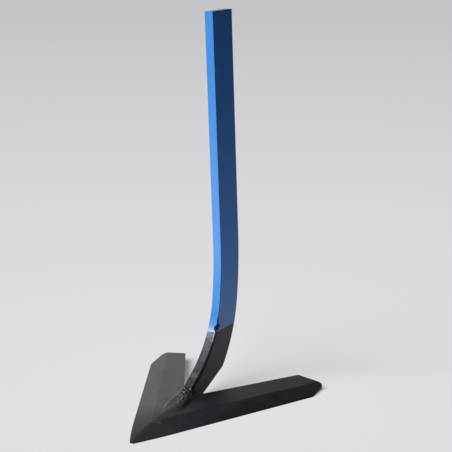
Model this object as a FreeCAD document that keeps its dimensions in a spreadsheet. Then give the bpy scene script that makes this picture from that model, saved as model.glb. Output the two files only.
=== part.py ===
"""Weeder knife: a V-shaped hoe blade welded to the foot of a bent flat-bar shank.

Millimetres. The nose points to -Y, +Z is up, and the part is symmetric about X = 0.
The origin is the middle of the blade's length and width, on the ground.
"""
import FreeCAD, Part
import math
import os

import Sketcher

Vector = FreeCAD.Vector

# Driving dimensions: name, value, what it is
DRIVING = (
    ("blade_length", 223.5, "nose to rear cut of the wings"),
    ("cutting_width", 210.0, "over the trimmed wing tips"),
    ("tip_trim_length", 27.3, "side of the wing trimmed parallel to the line of travel"),
    ("nose_width", 3.5, "blunt front of the nose"),
    ("nose_bow", 2.2, "inward bow of the edge at the nose, from its straight line"),
    ("nose_bow_length", 42.0, "front stretch of the edge that bows inward to the nose"),
    ("wing_end_width", 31.0, "rear cut of one wing, tip to inner corner"),
    ("notch_depth", 125.5, "rear cut to the inner corner between the wings"),
    ("notch_radius", 2.0, "rounding of that inner corner"),
    ("rear_corner_radius", 5.0, "tip to rear cut, in plan"),
    ("front_corner_radius", 8.0, "cutting edge to tip, in plan"),
    ("inner_corner_radius", 2.0, "inner edge to rear cut, in plan"),
    ("plate_thickness", 5.0, "of the wing at its inner rear corner"),
    ("crown_height", 9.7, "ridge above ground where the bevels end"),
    ("crown_setback", 36.6, "that point behind the nose"),
    ("ridge_rise_angle", 3.45, "ridge behind the crown, degrees"),
    ("wing_fall_angle", 7.75, "top face down to the side, degrees"),
    ("nose_land", 1.8, "upright edge left under the bevel at the front"),
    ("tip_land", 0.5, "upright edge left under the bevel at the wing tip"),
    ("crease_radius", 8.0, "forged rounding of the ridge and bevel lines"),
    ("bar_thickness", 10.0, "flat bar, across the line of travel"),
    ("bar_depth", 40.0, "flat bar, along the line of travel"),
    ("bar_edge_radius", 0.8, "rolled edge of the bar"),
    ("shank_height", 409.9, "front top edge above ground"),
    ("lean_angle", 3.9, "straight upper shank, forward of upright, degrees"),
    ("toe_setback", 92.3, "toe of the shank behind the nose"),
    ("foot_angle", 57.0, "straight foot from upright, degrees"),
    ("foot_length", 35.7, "straight foot, along its front face"),
    ("foot_bend_radius", 105.0, "front face, lowest bend"),
    ("foot_bend_turn", 27.0, "degrees"),
    ("middle_bend_radius", 88.0, "front face, tightest bend"),
    ("upper_bend_radius", 313.0, "front face, easy bend under the straight"),
    ("upper_bend_turn", 11.9, "degrees"),
    ("sole_length", 29.0, "level underside of the foot, behind the inner corner"),
    ("heel_cut_angle", 22.0, "rear underside of the foot, rising, degrees"),
    ("weld_run_out", 30.0, "weld in front of the toe, along the ridge"),
    ("weld_arm_length", 24.0, "weld behind the toe, on both sides of the bar"),
    ("weld_leg", 6.5, "weld out from the side of the bar"),
    ("weld_rise", 6.0, "weld above the ridge where it climbs the bar's front"),
    ("weld_end_rise", 2.5, "weld above the ridge line at its rear ends"),
    ("weld_root_depth", 3.0, "weld below the blade's top face"),
)

# Places worked out from the driving dimensions: name, formula
DERIVED = (
    ("nose_y", "-blade_length / 2"),
    ("rear_y", "blade_length / 2"),
    ("nose_x", "nose_width / 2"),
    ("tip_x", "cutting_width / 2"),
    ("tip_y", "rear_y - tip_trim_length"),
    ("edge_slope", "(tip_x - nose_x - nose_bow) / (tip_y - nose_y)"),
    ("edge_half_angle", "atan(edge_slope) / 1 deg"),
    ("edge_apex_y", "nose_y - (nose_x + nose_bow) / edge_slope"),
    ("bow_end_y", "nose_y + nose_bow_length"),
    ("bow_end_x", "(bow_end_y - edge_apex_y) * edge_slope"),
    ("bow_angle", "atan((bow_end_x - nose_x) / nose_bow_length) / 1 deg"),
    ("bow_radius", "nose_bow_length / cos(bow_angle * 1 deg)"
                   " / 2 / sin((bow_angle - edge_half_angle) * 1 deg)"),
    ("inner_x", "tip_x - wing_end_width"),
    ("notch_y", "rear_y - notch_depth"),
    ("notch_half_angle", "atan(inner_x / notch_depth) / 1 deg"),
    ("crown_y", "nose_y + crown_setback"),
    ("rise", "tan(ridge_rise_angle * 1 deg)"),
    ("fall", "tan(wing_fall_angle * 1 deg)"),
    ("bevel_rise", "(crown_height - nose_land) / (crown_y - edge_apex_y)"),
    ("land_fall", "(nose_land - tip_land) / tip_x"),
    ("inner_top_z", "crown_height + rise * (rear_y - crown_y) - fall * inner_x"),
    ("inner_reach", "(rear_y - edge_apex_y) * sin(edge_half_angle * 1 deg)"
                    " - inner_x * cos(edge_half_angle * 1 deg)"),
    ("hollow_rise", "(inner_top_z - plate_thickness) / inner_reach"
                    " * sin(edge_half_angle * 1 deg)"),
    ("blank_height", "crown_height + rise * blade_length"),
    ("toe_y", "nose_y + toe_setback"),
    ("toe_z", "crown_height + rise * (toe_y - crown_y)"),
    ("foot_start_y", "toe_y - bar_thickness * sin(foot_angle * 1 deg)"),
    ("foot_start_z", "toe_z - bar_thickness * cos(foot_angle * 1 deg)"),
    ("foot_run", "foot_length + bar_thickness"),
    ("middle_bend_turn", "foot_angle + lean_angle - foot_bend_turn - upper_bend_turn"),
    ("seat_drop", "fall * bar_thickness"),
    ("tongue_y", "notch_y + notch_radius / sin(notch_half_angle * 1 deg) - notch_radius"),
    ("sole_z", "hollow_rise * (tongue_y - edge_apex_y)"),
    ("sole_end_y", "tongue_y + sole_length"),
    ("weld_front_y", "toe_y - weld_run_out"),
    ("weld_rear_y", "toe_y + weld_arm_length"),
    ("weld_half_width", "bar_thickness / 2 + weld_leg"),
    ("weld_climb_y", "toe_y + weld_rise * tan(foot_angle * 1 deg)"),
    ("margin", "bar_depth"),
)

# Sections of the weld's run-out, as shares of it from the front
RUN_OUT_SHARES = (0.04, 0.2, 0.5)

# Lengths under TINY count as nothing; a normal's rise over UPWARD marks a top face
TINY = 1e-6
UPWARD = 0.5


def make_sheet(doc):
    """Spreadsheet with the driving dimensions first and the worked-out places below."""
    sheet = doc.addObject("Spreadsheet::Sheet", "size")
    row = 1
    for name, value, note in DRIVING:
        sheet.set("A%d" % row, name)
        sheet.set("B%d" % row, str(value))
        sheet.set("C%d" % row, note)
        sheet.setAlias("B%d" % row, name)
        row += 1
    for name, formula in DERIVED:
        sheet.set("A%d" % row, name)
        sheet.set("B%d" % row, "=" + formula)
        sheet.setAlias("B%d" % row, name)
        row += 1
    doc.recompute()
    return sheet


def add_body(doc, name):
    body = doc.addObject("PartDesign::Body", name)
    body.Label = name
    return body


def add_sketch(body, name, role):
    """Empty sketch on one of the body's own origin planes."""
    sketch = body.newObject("Sketcher::SketchObject", name)
    plane = next(part for part in body.Origin.OriginFeatures if part.Role == role)
    sketch.AttachmentSupport = [(plane, "")]
    sketch.MapMode = "FlatFace"
    return sketch


def number(sketch, expression):
    """Value of an expression: a length in mm, or an angle in radians."""
    value = sketch.evalExpression(expression)
    if isinstance(value, FreeCAD.Units.Quantity):
        is_angle = value.Unit == FreeCAD.Units.Angle
        return math.radians(value.Value) if is_angle else value.Value
    return float(value)


def hold(sketch, kind, where, expression):
    """Adds one dimension to a sketch and binds it to an expression on the sheet."""
    dimension = Sketcher.Constraint(kind, *where, number(sketch, expression))
    index = sketch.addConstraint(dimension)
    sketch.setExpression("Constraints[%d]" % index, expression)


def hold_start(sketch, side, across, up):
    """Fixes where a side starts, measured from the sketch's origin."""
    if across == "0":
        sketch.addConstraint(Sketcher.Constraint("PointOnObject", side, 1, -2))
    else:
        hold(sketch, "DistanceX", (-1, 1, side, 1), across)
    hold(sketch, "DistanceY", (-1, 1, side, 1), up)


def outward_arc(start, end, radius):
    """Arc from start to end that bulges to the right of the way from one to the other."""
    chord = end - start
    right = Vector(chord.y, -chord.x, 0).normalize()
    bulge = radius - math.sqrt(radius ** 2 - (chord.Length / 2) ** 2)
    return Part.Arc(start, (start + end) * 0.5 + right * bulge, end)


def add_outline(body, name, role, corners, arcs=None):
    """Closed sketch through corners, given counter-clockwise as pairs of expressions.

    arcs maps the number of a side to the expression of its radius; the others are straight.
    """
    arcs = arcs or {}
    sketch = add_sketch(body, name, role)
    points = [Vector(number(sketch, across), number(sketch, up), 0) for across, up in corners]
    count = len(points)
    for side, start in enumerate(points):
        end = points[(side + 1) % count]
        if side in arcs:
            sketch.addGeometry(outward_arc(start, end, number(sketch, arcs[side])))
        else:
            sketch.addGeometry(Part.LineSegment(start, end))
    for side in range(count):
        follower = (side + 1) % count
        sketch.addConstraint(Sketcher.Constraint("Coincident", side, 2, follower, 1))
        hold_start(sketch, side, *corners[side])
        if side in arcs:
            hold(sketch, "Radius", (side,), arcs[side])
    return sketch


def cut_along(body, name, sketch, slopes):
    """Pocket that carries a centre-plane outline sideways along a slanted direction.

    slopes are the expressions of how far the direction goes rearward and up per mm sideways.
    """
    pocket = body.newObject("PartDesign::Pocket", name)
    pocket.Profile = sketch
    pocket.UseCustomVector = True
    pocket.AlongSketchNormal = True
    pocket.Direction = Vector(1, number(sketch, slopes[0]), number(sketch, slopes[1]))
    pocket.setExpression("Direction.y", slopes[0])
    pocket.setExpression("Direction.z", slopes[1])
    pocket.setExpression("Length", "size.cutting_width")
    return pocket


def round_edges(body, name, base, edges, radius):
    fillet = body.newObject("PartDesign::Fillet", name)
    fillet.Base = (base, edges)
    fillet.setExpression("Radius", radius)
    return fillet


def upright_edge(shape, x, y):
    """Name of the upright edge of a shape that stands nearest to x, y."""
    def distance(item):
        middle = item[1].CenterOfMass
        return math.hypot(middle.x - x, middle.y - y)

    def is_upright(edge):
        start, end = edge.firstVertex().Point, edge.lastVertex().Point
        return math.hypot(end.x - start.x, end.y - start.y) < TINY

    upright = [item for item in enumerate(shape.Edges, 1) if is_upright(item[1])]
    return "Edge%d" % min(upright, key=distance)[0]


def top_creases(shape):
    """Names of the edges where two upward faces meet: the ridge and the bevel lines."""
    names = []
    for index, edge in enumerate(shape.Edges, 1):
        faces = shape.ancestorsOfType(edge, Part.Face)
        if len(faces) == 2 and all(face.normalAt(0, 0).z > UPWARD for face in faces):
            names.append("Edge%d" % index)
    return names


def add_wing_blank(body, sheet):
    """Plan outline of the right wing as an upright block with its corners rounded."""
    plan = add_outline(body, "wing_plan", "XY_Plane", (
        ("0", "size.nose_y"),
        ("size.nose_x", "size.nose_y"),
        ("size.bow_end_x", "size.bow_end_y"),
        ("size.tip_x", "size.tip_y"),
        ("size.tip_x", "size.rear_y"),
        ("size.inner_x", "size.rear_y"),
        ("0", "size.notch_y"),
    ), {1: "size.bow_radius"})
    top = body.newObject("PartDesign::Pad", "wing_blank")
    top.Profile = plan
    top.setExpression("Length", "size.blank_height")
    body.Document.recompute()
    for name, x, y, radius in (
        ("rear_corner", sheet.tip_x, sheet.rear_y, "size.rear_corner_radius"),
        ("front_corner", sheet.tip_x, sheet.tip_y, "size.front_corner_radius"),
        ("inner_corner", sheet.inner_x, sheet.rear_y, "size.inner_corner_radius"),
    ):
        top = round_edges(body, name, top, [upright_edge(top.Shape, x, y)], radius)
        body.Document.recompute()


def cut_wing_faces(body):
    """Cuts the falling top face, the edge bevel and the hollow underside of the wing."""
    high = "size.blank_height + size.cutting_width"
    face = add_outline(body, "ridge_line", "YZ_Plane", (
        ("size.nose_y - size.margin", "size.crown_height"
         " + size.rise * (size.nose_y - size.margin - size.crown_y)"),
        ("size.rear_y + size.margin", "size.crown_height"
         " + size.rise * (size.rear_y + size.margin - size.crown_y)"),
        ("size.rear_y + size.margin", high),
        ("size.nose_y - size.margin", high),
    ))
    cut_along(body, "wing_top", face, ("0", "-size.fall"))
    bevel = add_outline(body, "bevel_line", "YZ_Plane", (
        ("size.edge_apex_y - size.margin", "size.nose_land - size.bevel_rise * size.margin"),
        ("size.rear_y", "size.nose_land + size.bevel_rise * (size.rear_y - size.edge_apex_y)"),
        ("size.rear_y", high),
        ("size.edge_apex_y - size.margin", high),
    ))
    cut_along(body, "wing_bevel", bevel, ("1 / size.edge_slope", "-size.land_fall"))
    hollow = add_outline(body, "hollow_line", "YZ_Plane", (
        ("size.edge_apex_y", "0"),
        ("size.edge_apex_y", "-size.margin"),
        ("size.rear_y", "-size.margin"),
        ("size.rear_y", "size.hollow_rise * (size.rear_y - size.edge_apex_y)"),
    ))
    return cut_along(body, "wing_hollow", hollow, ("1 / size.edge_slope", "0"))


def make_blade(doc, sheet):
    """One wing cut from a plan blank, mirrored into the V, with its creases softened."""
    body = add_body(doc, "blade")
    add_wing_blank(body, sheet)
    wing = cut_wing_faces(body)
    doc.recompute()
    pair = body.newObject("PartDesign::Mirrored", "wing_pair")
    pair.Originals = [wing]
    pair.TransformMode = "Whole shape"
    plane = next(part for part in body.Origin.OriginFeatures if part.Role == "YZ_Plane")
    pair.MirrorPlane = (plane, [""])
    body.Tip = pair
    doc.recompute()
    notch = [upright_edge(pair.Shape, 0, sheet.notch_y)]
    notched = round_edges(body, "notch_corner", pair, notch, "size.notch_radius")
    doc.recompute()
    round_edges(body, "soft_creases", notched, top_creases(notched.Shape), "size.crease_radius")
    return body


def draw_spine(sketch):
    """Draws the bar's front line: straight foot, three forward bends, straight shank."""
    point = Vector(number(sketch, "size.foot_start_y"), number(sketch, "size.foot_start_z"), 0)
    tilt = number(sketch, "size.foot_angle * 1 deg")
    end = point + Vector(math.sin(tilt), math.cos(tilt), 0) * number(sketch, "size.foot_run")
    sketch.addGeometry(Part.LineSegment(point, end))
    for radius, turn in (
        ("size.foot_bend_radius", "size.foot_bend_turn"),
        ("size.middle_bend_radius", "size.middle_bend_turn"),
        ("size.upper_bend_radius", "size.upper_bend_turn"),
    ):
        size = number(sketch, radius)
        centre = end + Vector(-math.cos(tilt), math.sin(tilt), 0) * size
        circle = Part.Circle(centre, Vector(0, 0, 1), size)
        next_tilt = tilt - number(sketch, turn + " * 1 deg")
        sketch.addGeometry(Part.ArcOfCircle(circle, -tilt, -next_tilt))
        tilt = next_tilt
        end = centre + Vector(math.cos(tilt), -math.sin(tilt), 0) * size
    climb = (number(sketch, "size.shank_height") - end.y) / math.cos(tilt)
    top = end + Vector(math.sin(tilt), math.cos(tilt), 0) * climb
    sketch.addGeometry(Part.LineSegment(end, top))


def add_spine(body):
    """Front face of the bent bar, from under the toe up to the top edge."""
    sketch = add_sketch(body, "bar_front_line", "YZ_Plane")
    draw_spine(sketch)
    hold_start(sketch, 0, "size.foot_start_y", "size.foot_start_z")
    for side in range(4):
        sketch.addConstraint(Sketcher.Constraint("Tangent", side, 2, side + 1, 1))
    hold(sketch, "Distance", (0,), "size.foot_run")
    hold(sketch, "Angle", (0,), "(90 - size.foot_angle) * 1 deg")
    hold(sketch, "Radius", (1,), "size.foot_bend_radius")
    hold(sketch, "Angle", (1,), "size.foot_bend_turn * 1 deg")
    hold(sketch, "Radius", (2,), "size.middle_bend_radius")
    hold(sketch, "Radius", (3,), "size.upper_bend_radius")
    hold(sketch, "Angle", (3,), "size.upper_bend_turn * 1 deg")
    hold(sketch, "Angle", (4,), "(90 + size.lean_angle) * 1 deg")
    hold(sketch, "DistanceY", (-1, 1, 4, 2), "size.shank_height")
    return sketch


def add_bar_section(body):
    """Rectangle of the flat bar with rolled edges, square to the start of its front line."""
    radius = "size.bar_edge_radius"
    half = "size.bar_thickness / 2"
    side_in = "size.bar_thickness / 2 - size.bar_edge_radius"
    rear_in = "size.bar_depth - size.bar_edge_radius"
    section = add_outline(body, "bar_section", "XY_Plane", (
        ("-(%s)" % side_in, "0"),
        (side_in, "0"),
        (half, radius),
        (half, rear_in),
        (side_in, "size.bar_depth"),
        ("-(%s)" % side_in, "size.bar_depth"),
        ("-(%s)" % half, rear_in),
        ("-(%s)" % half, radius),
    ), {1: radius, 3: radius, 5: radius, 7: radius})
    tilt = FreeCAD.Rotation(Vector(-1, 0, 0), 1)
    section.AttachmentOffset = FreeCAD.Placement(Vector(0, 0, 0), tilt)
    section.setExpression("AttachmentOffset.Base.y", "size.foot_start_y")
    section.setExpression("AttachmentOffset.Base.z", "size.foot_start_z")
    section.setExpression("AttachmentOffset.Rotation.Angle", "size.foot_angle * 1 deg")
    return section


def make_bar(doc):
    """The bent flat bar, its foot cut to sit on the ridge and reach into the notch."""
    body = add_body(doc, "bar_form")
    spine = add_spine(body)
    section = add_bar_section(body)
    doc.recompute()
    bar = body.newObject("PartDesign::AdditivePipe", "bent_bar")
    bar.Profile = section
    bar.Spine = (spine, ["Edge%d" % (side + 1) for side in range(5)])
    doc.recompute()
    foot = add_outline(body, "foot_line", "YZ_Plane", (
        ("size.toe_y - size.margin", "-size.margin"),
        ("size.sole_end_y + 2 * size.margin", "-size.margin"),
        ("size.sole_end_y + 2 * size.margin",
         "size.sole_z + 2 * size.margin * tan(size.heel_cut_angle * 1 deg)"),
        ("size.sole_end_y", "size.sole_z"),
        ("size.tongue_y", "size.sole_z"),
        ("size.tongue_y", "size.toe_z + size.rise * (size.tongue_y - size.toe_y)"
         " - size.seat_drop"),
        ("size.toe_y - size.margin", "size.toe_z - size.rise * size.margin - size.seat_drop"),
    ))
    cut = body.newObject("PartDesign::Pocket", "foot_cut")
    cut.Profile = foot
    cut.SideType = "Symmetric"
    cut.setExpression("Length", "size.bar_thickness * 2")
    return body


def add_weld_section(body, name, place, half_width, rise):
    """Upright section of the weld: a low arc over the ridge, straight down into the blade."""
    ridge = "(size.toe_z + size.rise * (%s - size.toe_y))" % place
    edge = "%s - size.fall * %s" % (ridge, half_width)
    root = "%s - size.weld_root_depth" % edge
    arch = "(%s + size.fall * %s)" % (rise, half_width)
    radius = "(%s ^ 2 + %s ^ 2) / 2 / %s" % (half_width, arch, arch)
    section = add_outline(body, name, "XZ_Plane", (
        ("-" + half_width, root),
        (half_width, root),
        (half_width, edge),
        ("-" + half_width, edge),
    ), {2: radius})
    section.setExpression("AttachmentOffset.Base.z", "-(%s)" % place)
    return section


def make_weld_form(doc):
    """Weld bead before the bar and blade are taken out of it.

    It starts as a quarter ellipse in plan in front of the toe and goes on at full width
    along both sides of the bar. Its crest climbs to the bar's front face, then drops.
    """
    body = add_body(doc, "weld_form")
    sections = []
    for index, share in enumerate(RUN_OUT_SHARES):
        place = "(size.weld_front_y + %g * size.weld_run_out)" % share
        width = "(size.weld_half_width * sqrt(1 - (1 - %g) ^ 2))" % share
        climb = "((%s - size.weld_front_y) / (size.weld_climb_y - size.weld_front_y))" % place
        rise = "(size.weld_rise * %s ^ 2)" % climb
        sections.append(add_weld_section(body, "run_out_%d" % index, place, width, rise))
    full = "size.weld_half_width"
    sections.append(add_weld_section(body, "climb", "size.weld_climb_y", full, "size.weld_rise"))
    sections.append(add_weld_section(body, "rear_end", "size.weld_rear_y", full,
                                     "size.weld_end_rise"))
    doc.recompute()
    loft = body.newObject("PartDesign::AdditiveLoft", "bead")
    loft.Profile = sections[0]
    loft.Sections = sections[1:]
    return body


def cut_away(doc, name, base, tool):
    result = doc.addObject("Part::Cut", name)
    result.Label = name
    result.Base = base
    result.Tool = tool
    return result


def check(doc, parts):
    """Stops if any object failed or any sub-part has no sound solid."""
    for item in doc.Objects:
        if "Invalid" in item.State or "Error" in item.State:
            raise RuntimeError("%s failed: %s" % (item.Label, item.State))
    for part in parts:
        if part.Shape.isNull() or not part.Shape.isValid() or len(part.Shape.Solids) != 1:
            raise RuntimeError("%s is not one sound solid" % part.Label)


def main():
    doc = FreeCAD.newDocument("weeder_knife")
    sheet = make_sheet(doc)
    blade = make_blade(doc, sheet)
    bar = make_bar(doc)
    weld_form = make_weld_form(doc)
    doc.recompute()
    shank = cut_away(doc, "shank", bar, blade)
    weld_on_blade = cut_away(doc, "weld_on_blade", weld_form, blade)
    weld = cut_away(doc, "weld_bead", weld_on_blade, shank)
    doc.recompute()
    parts = (blade, shank, weld)
    check(doc, parts)
    os.makedirs("parts", exist_ok=True)
    for part in parts:
        part.Shape.exportStep("parts/%s.step" % part.Label)


main()
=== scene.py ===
"""Dressed model of a weeder knife: finishes for the blade and shank, a rough weld, and the set.

Metres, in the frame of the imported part: nose to -Y, +Z up, symmetric about X = 0.
Weld shapes are worked out in millimetres and scaled at the end.
"""

import math

import bpy
import numpy as np
from mathutils import Matrix, Vector


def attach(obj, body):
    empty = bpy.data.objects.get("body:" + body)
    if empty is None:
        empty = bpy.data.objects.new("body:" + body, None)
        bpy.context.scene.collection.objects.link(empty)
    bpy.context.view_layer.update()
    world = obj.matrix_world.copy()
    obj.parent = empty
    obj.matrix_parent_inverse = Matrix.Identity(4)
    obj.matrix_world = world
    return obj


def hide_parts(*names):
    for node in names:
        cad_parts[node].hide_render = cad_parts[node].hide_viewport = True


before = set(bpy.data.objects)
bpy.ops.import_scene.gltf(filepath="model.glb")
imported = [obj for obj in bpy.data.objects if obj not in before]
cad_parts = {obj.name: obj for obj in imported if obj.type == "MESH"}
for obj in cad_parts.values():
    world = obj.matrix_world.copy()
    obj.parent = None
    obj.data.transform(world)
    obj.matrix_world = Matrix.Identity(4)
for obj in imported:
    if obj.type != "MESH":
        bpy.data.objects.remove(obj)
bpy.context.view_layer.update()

MM = 0.001

# The blade's top face and the bar's front face, in millimetres, as the solids have them
CROWN_Y = -75.15
CROWN_Z = 9.7
RIDGE_RISE = math.tan(math.radians(3.45))
RIDGE_SOFTNESS = 0.5
WING_FALL = math.tan(math.radians(7.75))
TOE_Y = -19.45
TOE_Z = CROWN_Z + RIDGE_RISE * (TOE_Y - CROWN_Y)
FOOT_ANGLE = math.radians(57)
FOOT_LENGTH = 35.7
FOOT_BEND = 105.0
BAR_HALF = 5.0

# In metres: the height of the dip's edge, the straight bar's direction and its end along it
DIP_Z = 0.0685
BAR_LEAN = (0, -0.068015, 0.997684)
BAR_END = 0.40625

# Weld in millimetres: places along it, its reach to each side of the ridge there, how deep
# its root lies in the blade, and the rounding of its rear ends
WELD_Y = (-50.0, -44.0, -39.0, -33.0, -27.5, -18.0, -10.0, -6.0, 5.0)
WELD_LEFT = (0.8, 7.2, 9.2, 10.4, 11.2, 12.2, 13.8, 14.6, 13.6)
WELD_RIGHT = (0.8, 7.4, 10.8, 11.9, 11.8, 11.0, 9.4, 8.4, 7.4)
WELD_ROOT = 2.6
REAR_ROUNDING = 3.5

# Wander of its toes and waves of its top: how far and how long, where the wander starts and
# ends, and how far in from the rim the waves are whole
WANDER_REACH, WANDER_SIZES = (0.28, 0.12), (6.0, 2.2)
WANDER_STARTS_Y, WANDER_ENDS_Y = (-50, -44), (-1, 2)
WAVE_HEIGHTS, WAVE_SIZES = (0.05, 0.015), (9.0, 2.4)
WAVES_FROM_RIM = 3

# Its mound: how high it starts on the left and on the right, its further rise, the slope and
# the softness of its rim left and right, and the y over which it rises and the right rim
# gets steeper
MOUND_SKIN = 0.25
MOUND_START, MOUND_START_Y = 0.5, (-48, -41)
MOUND_RISE, MOUND_RISE_Y = 1.9, (-40, -14)
RIM_SLOPE = (0.8, 0.35)
RIM_STEEPER, RIM_STEEPER_Y = 0.9, (-45, -37)
RIM_SOFTNESS = (1.4, 0.5)

# Its legs up the bar's sides: rise left and right, where they climb and where they fall off
# at the rear, to what share of that rise, how far their toes sink, and their fillet
LEG_RISE = (5.0, 1.6)
LEG_CLIMB_Y = (-26, -12)
LEG_FALL_Y = (-2, WELD_Y[-1])
LEG_KEPT = 0.4
LEG_SINKS = 0.3
LEG_FILLET = 0.8

# The last, rough run on it: its crest, its reach and its fillet to each side of that, how
# deep its feet lie in wing and bar, and where its right foot passes from wing to bar
RUN_Y = (-43.0, -38.0, -33.0, -27.0, -22.5, -14.0, -9.0, -6.0, -3.5)
RUN_X = (4.9, 4.5, 3.8, 2.6, 1.4, -1.0, -2.0, -1.8, -1.2)
RUN_Z = (10.6, 12.6, 14.4, 15.8, 17.0, 19.2, 21.6, 22.6, 22.8)
RUN_LEFT = (2.0, 2.6, 3.0, 3.4, 3.8, 4.0, 3.1, 2.8, 2.2)
RUN_RIGHT = (3.2, 5.8, 7.4, 8.6, 9.2, 9.4, 9.0, 7.0, 4.2)
RUN_FILLET = (2.4, 0.6)
RUN_IN_WING, RUN_IN_BAR = 0.5, 0.4
RUN_MEETS_BAR_Y = (-8.6, -6.8)

# Roughness of that run: heights and sizes, the level that beads stand over, the mean that is
# taken off it all, the share of the run's sides that it fades over, and where it dies down
RIPPLE_HEIGHT, RIPPLE_PITCH, RIPPLE_CURVE = 0.10, 2.3, 0.05
LUMP_HEIGHT, LUMP_SIZE = 0.26, 5.5
BEAD_HEIGHT, BEAD_SIZE, BEAD_LEVEL = 0.95, 3.4, 0.45
ROUGH_MEAN, ROUGH_FADE = 0.15, 0.35
ROUGH_ENDS_Y = (-13, -7)

# Small drops of spatter, as many on the wings as on the bar: their number on each, and least
# and greatest radius. On the bar: reach from its middle, stretch of y, and crowding to its
# low end. On the wings: share on the left, stretch of y, and distance from the weld, at
# least and on average beyond that
DROPS, DROP_RADII = 26, (0.22, 0.5)
BAR_DROP_X, BAR_DROP_Y, BAR_DROP_CROWDING = 4.2, (-6, 13), 1.3
WING_DROP_LEFT, WING_DROP_Y, WING_DROP_AWAY = 0.6, (-44, -6), (1, 3.0)

# Large ones at places that the photograph shows, as x and y on the bar's front face and on
# the wings, and how flat all drops are
LARGE_ON_BAR = ((0.3, 12.4), (-2.4, 3.8), (-2.9, -6.8))
LARGE_ON_WINGS = ((-22.0, 12.5), (-20.6, 9.6))
LARGE_RADII = (1.0, 1.1, 1.0, 0.7, 0.55)
DROP_FLATNESS = 0.6

# Flat scales on the run's crest that catch the light, and the way they face
SCALES = ((-1.3, -9.9, 21.8), (1.1, -14.6, 19.8), (4.4, -24.5, 17.1), (4.5, -32.6, 14.7))
SCALE_RADII = (1.5, 1.9, 1.6, 1.3)
SCALE_FLATNESS = 0.35
SCALE_OUT = (0.14, -0.80, 0.58)

# Black dip: its blue-black and its dusty grey-black, the crown's scuffs with painted glints,
# painted shade along the cutting edge, and a lighter grey on the weld's right side
DIP_DEEP = "#151518"
DIP_DUSTY = "#242427"
CROWN_SCUFF_AND_GLINT = "#3f4452"
CUTTING_EDGE_SHADE = "#070709"
WELD_RIGHT_GREY = "#2c2c2b"

# Blue enamel: its deep and its bright streaks, painted light paler in the middle, painted shade
# lower down, thickest and deepest a little over the dip, a painted highlight right over it, its
# lip as a painted highlight, and painted shade on the edges
BLUE_DEEP = "#3b93eb"
BLUE_BRIGHT = "#4fa1f3"
BLUE_PAINTED_LIGHT = "#66a6f2"
BLUE_PAINTED_SHADE = "#3b85c9"
BLUE_THICK = "#187bca"
BLUE_HIGHLIGHT = "#86b0d8"
BLUE_LIP_HIGHLIGHT = "#9ab8de"
BLUE_EDGE_SHADE = "#174a8f"

# Primer in the chips, rubbed grey with painted sheen and dust on the foot, painted shade along
# its front edges, its worn streak with painted highlight, and the sawn end
PRIMER = "#141f3c"
FOOT_SHEEN_AND_RUB = "#707184"
FOOT_DUST = "#8b8689"
FLANK_DUST = "#606066"
FOOT_EDGE_SHADE = "#050507"
FOOT_WORN_HIGHLIGHT = "#9ba0b2"
SAWN_DEEP = "#111a30"
SAWN_PALE = "#323d58"

# Chip and nick in the blue, the worn streak with painted highlight under its lip, the dust on the
# front of the foot and the scuffs with painted glints on the crown: centre and reach in mm
CHIP_CENTRE, CHIP_REACH = (5.2, 46.5, 73.8), (2.4, 7.0, 4.4)
NICK_CENTRE, NICK_REACH = (5.2, 49.5, 84.0), (1.3, 3.0, 6.0)
WORN_HIGHLIGHT_CENTRE, WORN_HIGHLIGHT_REACH = (4.9, 42.0, 64.5), (2.0, 9.0, 8.0)
DUST_CENTRE, DUST_REACH = (0.5, 7.5, 31.0), (7.5, 8.0, 6.5)
SCUFF_CENTRE, SCUFF_REACH = (3.5, -72.5, 9.4), (9.0, 5.0, 3.0)

# A Mix node's two colours, the colour that it gives and its two values, by socket number,
# because their names repeat
COLOUR_A, COLOUR_B, COLOUR_OUT = 6, 7, 2
VALUE_A, VALUE_B = 2, 3

# Paper floor: as it is seen near and far, half changed at PAPER_FADE metres, and the light
# that it throws back up, which dims between two distances in metres
PAPER_NEAR, PAPER_FAR, PAPER_FADE = "#e8e8eb", "#c7c7ca", 2.5
BOUNCE_NEAR, BOUNCE_FAR, BOUNCE_ENDS = "#eef0fa", "#2a2b33", (0.10, 0.62)

# Share of the floor's own glow, which keeps the part's shadow on it pale, and the lesser
# share where the left wing shades it from close by: its middle, and the distances from that
# over which the one share gives way to the other
SHADOW_LIFT = 0.4
CONTACT_LIFT = 0.24
WING_SHADE, WING_SHADE_REACH = (-0.065, 0.10, 0), (0.03, 0.07)

# Black card, and the room's low backdrop, ceiling, wall and even light for diffuse rays
BLACK_CARD = "#101012"
BACKDROP, CEILING, WALL, EVEN_LIGHT = "#c4c4c8", "#3a3a40", "#fdfaff", "#25262e"

# The ceiling gives way to the backdrop between two sines of elevation, and the wall's foot
# fades in between two others. The wall brightens towards its middle, WALL_WAY, between two
# cosines of the angle from that
BACKDROP_TOP, WALL_FOOT = (0.12, 0.02), (0.015, 0.09)
WALL_WAY, WALL_NEARNESS = (-0.74, 0.62, 0.26), (0.74, 1.0)

# Camera of the photograph: place, turn as azimuth, elevation and roll in degrees, and lens
CAMERA_PLACE = (0.52287, -0.86684, 0.41558)
CAMERA_TURN = (28.97, 12.29, 0.07)
LENS_LENGTH, SENSOR_WIDTH = 80.51, 36.0


# Shapes


def wing_top(x, y):
    """Height of the blade's top: a ridge that rises rearward and falls to both sides."""
    return CROWN_Z + RIDGE_RISE * (y - CROWN_Y) - WING_FALL * np.hypot(x, RIDGE_SOFTNESS)


def bar_front(y):
    """Height of the bar's front face over y: a straight slope up from the toe."""
    return TOE_Z + (y - TOE_Y) / math.tan(FOOT_ANGLE)


def ease(value, low, high):
    """0 below low, 1 above high, and a smooth S between them."""
    share = np.clip((value - low) / (high - low), 0, 1)
    return share * share * (3 - 2 * share)


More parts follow.
